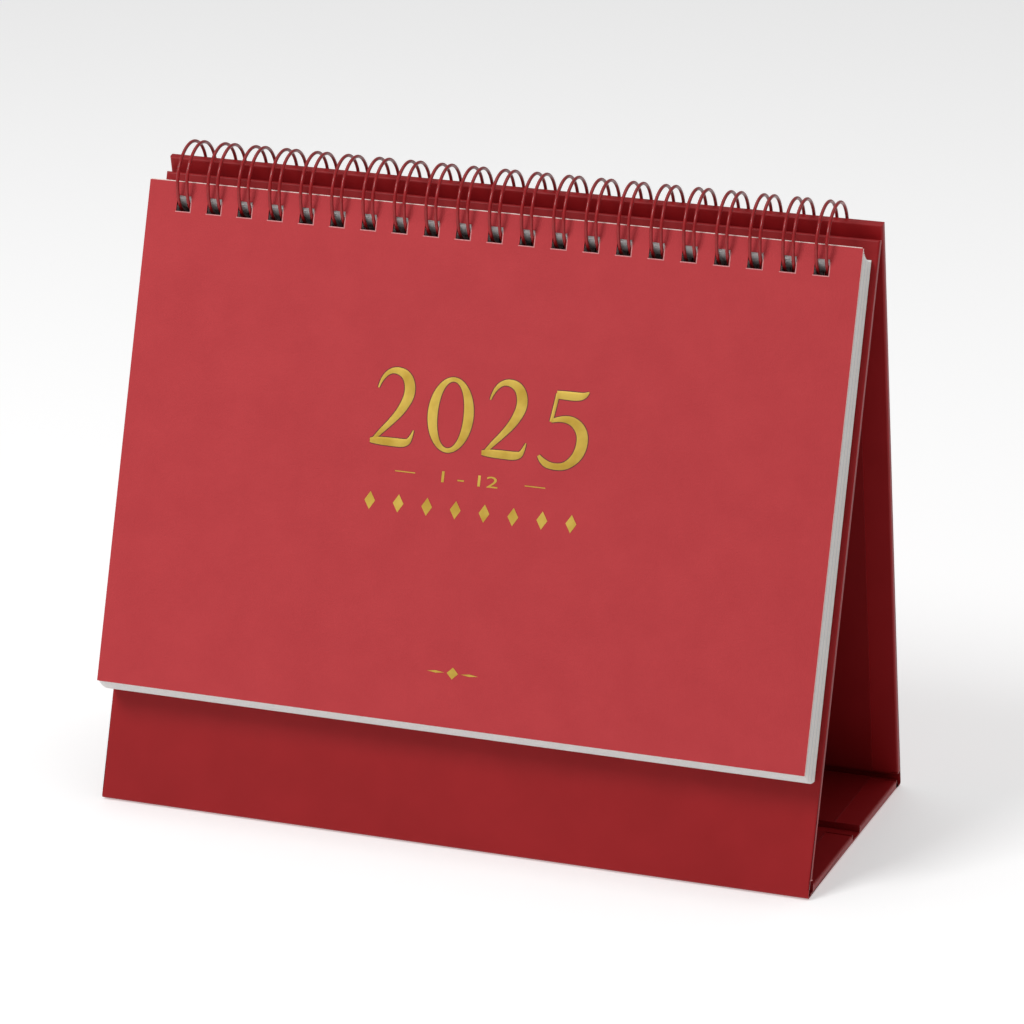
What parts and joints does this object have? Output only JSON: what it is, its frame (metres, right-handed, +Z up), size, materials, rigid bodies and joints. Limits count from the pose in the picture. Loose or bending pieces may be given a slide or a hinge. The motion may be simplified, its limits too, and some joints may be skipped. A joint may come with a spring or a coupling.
{
  "type": "flip desk calendar",
  "caption": "Desk calendar on a folding A-frame stand: a wire-bound stack of punched sheets flips over the top, and the creased base folds up inside.",
  "frame": {"origin": "on the table, under the middle of the stand's base", "axes": "+X along the width, -Y out of the front cover, +Z up"},
  "size_m": [0.1906, 0.0929, 0.1675],
  "materials": {
    "greyboard": "matte",
    "red_wrap": "satin",
    "red_liner": "satin",
    "red_wire": "gloss",
    "red_leatherette": "fine grain",
    "white_card": "matte",
    "white_paper": "matte"
  },
  "bodies": {
    "front_panel": {"front_panel_core": "greyboard", "front_panel_wrap": "red_wrap", "front_panel_liner": "red_liner", "front_crease": "red_wrap", "twin_loop_wire": "red_wire"},
    "back_panel": {"back_panel_core": "greyboard", "back_panel_wrap": "red_wrap", "back_panel_liner": "red_liner", "rear_crease": "red_wrap"},
    "base_front": {"base_front_core": "greyboard", "base_front_wrap": "red_wrap", "base_front_liner": "red_liner", "centre_crease_front": "red_wrap"},
    "base_back": {"base_back_core": "greyboard", "base_back_wrap": "red_wrap", "base_back_liner": "red_liner", "centre_crease_back": "red_wrap"},
    "cover": {"cover_sheet": "red_leatherette"},
    "month_01": {"month_sheet_01": "white_paper"},
    "month_02": {"month_sheet_02": "white_paper"},
    "month_03": {"month_sheet_03": "white_paper"},
    "month_04": {"month_sheet_04": "white_paper"},
    "month_05": {"month_sheet_05": "white_paper"},
    "month_06": {"month_sheet_06": "white_paper"},
    "month_07": {"month_sheet_07": "white_paper"},
    "month_08": {"month_sheet_08": "white_paper"},
    "month_09": {"month_sheet_09": "white_paper"},
    "month_10": {"month_sheet_10": "white_paper"},
    "month_11": {"month_sheet_11": "white_paper"},
    "month_12": {"month_sheet_12": "white_paper"},
    "card": {"backing_card": "white_card"}
  },
  "joints": [
    {"name": "stand_fold", "type": "hinge", "parent": "front_panel", "child": "back_panel", "pos_m": [0, -0.0056, 0.1575], "axis": [-1, 0, 0], "range_deg": [0, 7.5]},
    {"name": "base_front_fold", "type": "hinge", "parent": "front_panel", "child": "base_front", "pos_m": [0, -0.04277, 0.0019], "axis": [1, 0, 0], "range_deg": [0, 36.16], "deforming": ["centre_crease_front"]},
    {"name": "base_back_fold", "type": "hinge", "parent": "back_panel", "child": "base_back", "pos_m": [0, 0.04277, 0.0019], "axis": [-1, 0, 0], "range_deg": [0, 37.44], "deforming": ["centre_crease_back"]},
    {"name": "cover_flip", "type": "hinge", "parent": "front_panel", "child": "cover", "pos_m": [0, -0.0056, 0.1575], "axis": [-1, 0, 0], "range_deg": [0, 134]},
    {"name": "month_01_flip", "type": "hinge", "parent": "front_panel", "child": "month_01", "pos_m": [0, -0.0056, 0.1575], "axis": [-1, 0, 0], "range_deg": [0, 131.41]},
    {"name": "month_02_flip", "type": "hinge", "parent": "front_panel", "child": "month_02", "pos_m": [0, -0.0056, 0.1575], "axis": [-1, 0, 0], "range_deg": [0, 128.81]},
    {"name": "month_03_flip", "type": "hinge", "parent": "front_panel", "child": "month_03", "pos_m": [0, -0.0056, 0.1575], "axis": [-1, 0, 0], "range_deg": [0, 126.21]},
    {"name": "month_04_flip", "type": "hinge", "parent": "front_panel", "child": "month_04", "pos_m": [0, -0.0056, 0.1575], "axis": [-1, 0, 0], "range_deg": [0, 123.61]},
    {"name": "month_05_flip", "type": "hinge", "parent": "front_panel", "child": "month_05", "pos_m": [0, -0.0056, 0.1575], "axis": [-1, 0, 0], "range_deg": [0, 121.01]},
    {"name": "month_06_flip", "type": "hinge", "parent": "front_panel", "child": "month_06", "pos_m": [0, -0.0056, 0.1575], "axis": [-1, 0, 0], "range_deg": [0, 118.41]},
    {"name": "month_07_flip", "type": "hinge", "parent": "front_panel", "child": "month_07", "pos_m": [0, -0.0056, 0.1575], "axis": [-1, 0, 0], "range_deg": [0, 7.01]},
    {"name": "month_08_flip", "type": "hinge", "parent": "front_panel", "child": "month_08", "pos_m": [0, -0.0056, 0.1575], "axis": [-1, 0, 0], "range_deg": [0, 6.01]},
    {"name": "month_09_flip", "type": "hinge", "parent": "front_panel", "child": "month_09", "pos_m": [0, -0.0056, 0.1575], "axis": [-1, 0, 0], "range_deg": [0, 5.01]},
    {"name": "month_10_flip", "type": "hinge", "parent": "front_panel", "child": "month_10", "pos_m": [0, -0.0056, 0.1575], "axis": [-1, 0, 0], "range_deg": [0, 4.01]},
    {"name": "month_11_flip", "type": "hinge", "parent": "front_panel", "child": "month_11", "pos_m": [0, -0.0056, 0.1575], "axis": [-1, 0, 0], "range_deg": [0, 3.01]},
    {"name": "month_12_flip", "type": "hinge", "parent": "front_panel", "child": "month_12", "pos_m": [0, -0.0056, 0.1575], "axis": [-1, 0, 0], "range_deg": [0, 2.01]},
    {"name": "card_flip", "type": "hinge", "parent": "front_panel", "child": "card", "pos_m": [0, -0.0056, 0.1575], "axis": [-1, 0, 0], "range_deg": [0, 0.81]}
  ],
  "couplings": [
    {"joint": "base_front_fold", "follows": "stand_fold", "ratio": 4.8196},
    {"joint": "base_back_fold", "follows": "stand_fold", "ratio": 4.9907},
    {"joint": "month_01_flip", "follows": "cover_flip", "ratio": 0.9806},
    {"joint": "month_02_flip", "follows": "cover_flip", "ratio": 0.96119},
    {"joint": "month_03_flip", "follows": "cover_flip", "ratio": 0.94179},
    {"joint": "month_04_flip", "follows": "cover_flip", "ratio": 0.92239},
    {"joint": "month_05_flip", "follows": "cover_flip", "ratio": 0.90299},
    {"joint": "month_06_flip", "follows": "cover_flip", "ratio": 0.88358},
    {"joint": "month_07_flip", "follows": "cover_flip", "ratio": 0.05224},
    {"joint": "month_08_flip", "follows": "cover_flip", "ratio": 0.04478},
    {"joint": "month_09_flip", "follows": "cover_flip", "ratio": 0.03731},
    {"joint": "month_10_flip", "follows": "cover_flip", "ratio": 0.02985},
    {"joint": "month_11_flip", "follows": "cover_flip", "ratio": 0.02239},
    {"joint": "month_12_flip", "follows": "cover_flip", "ratio": 0.01493},
    {"joint": "card_flip", "follows": "cover_flip", "ratio": 0.00597}
  ]
}
